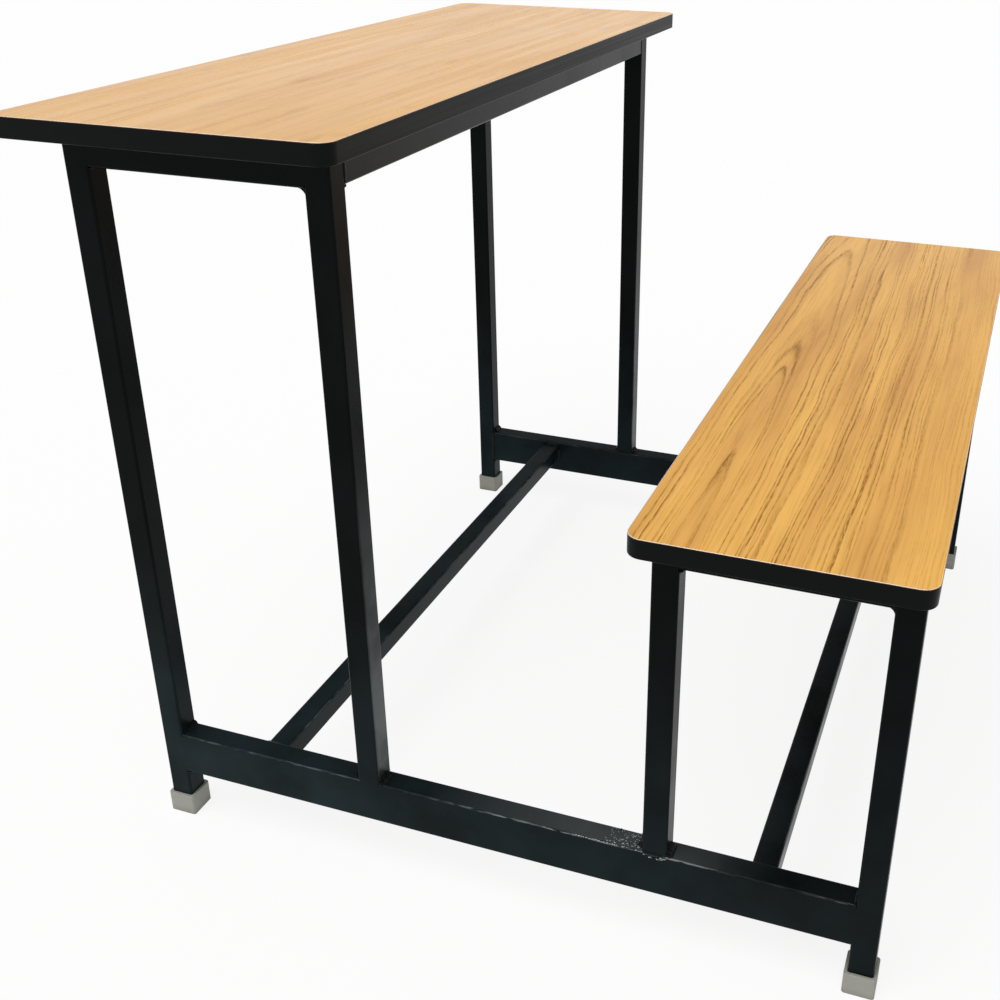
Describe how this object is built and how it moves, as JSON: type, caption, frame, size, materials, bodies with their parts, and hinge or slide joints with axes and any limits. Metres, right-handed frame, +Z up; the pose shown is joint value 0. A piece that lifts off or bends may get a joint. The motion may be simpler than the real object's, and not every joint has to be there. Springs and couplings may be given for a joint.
{
  "type": "school desk with bench",
  "caption": "School desk and bench joined on one welded square-tube frame, with wood-print laminate boards, black edge bands and plastic foot caps, for pupils who sit side by side.",
  "frame": {"origin": "on the floor, under the middle of the outline", "axes": "+X along the boards to the sitter's right, +Y from the bench to the desk, +Z up"},
  "size_m": [0.966, 0.821, 0.77],
  "materials": {
    "frame_enamel": "semi-gloss black enamel",
    "board_core": "raw particle board",
    "wood_laminate": "satin wood-print laminate",
    "edge_band": "black edge band",
    "foot_cap_plastic": "moulded grey plastic",
    "screw_steel": "zinc-plated steel"
  },
  "bodies": {
    "root": {"left_desk_front_leg": "frame_enamel", "left_desk_rear_leg": "frame_enamel", "left_bench_front_leg": "frame_enamel", "left_bench_rear_leg": "frame_enamel", "left_floor_rail": "frame_enamel", "left_desk_end_rail": "frame_enamel", "left_bench_end_rail": "frame_enamel", "right_desk_front_leg": "frame_enamel", "right_desk_rear_leg": "frame_enamel", "right_bench_front_leg": "frame_enamel", "right_bench_rear_leg": "frame_enamel", "right_floor_rail": "frame_enamel", "right_desk_end_rail": "frame_enamel", "right_bench_end_rail": "frame_enamel", "desk_front_beam": "frame_enamel", "desk_rear_beam": "frame_enamel", "bench_front_beam": "frame_enamel", "bench_rear_beam": "frame_enamel", "desk_stretcher": "frame_enamel", "bench_stretcher": "frame_enamel", "desk_board": "board_core", "desk_laminate": "wood_laminate", "desk_edge_band": "edge_band", "desk_screws": "screw_steel", "bench_board": "board_core", "bench_laminate": "wood_laminate", "bench_edge_band": "edge_band", "bench_screws": "screw_steel", "left_front_foot_cap": "foot_cap_plastic", "left_rear_foot_cap": "foot_cap_plastic", "right_front_foot_cap": "foot_cap_plastic", "right_rear_foot_cap": "foot_cap_plastic"}
  },
  "joints": []
}
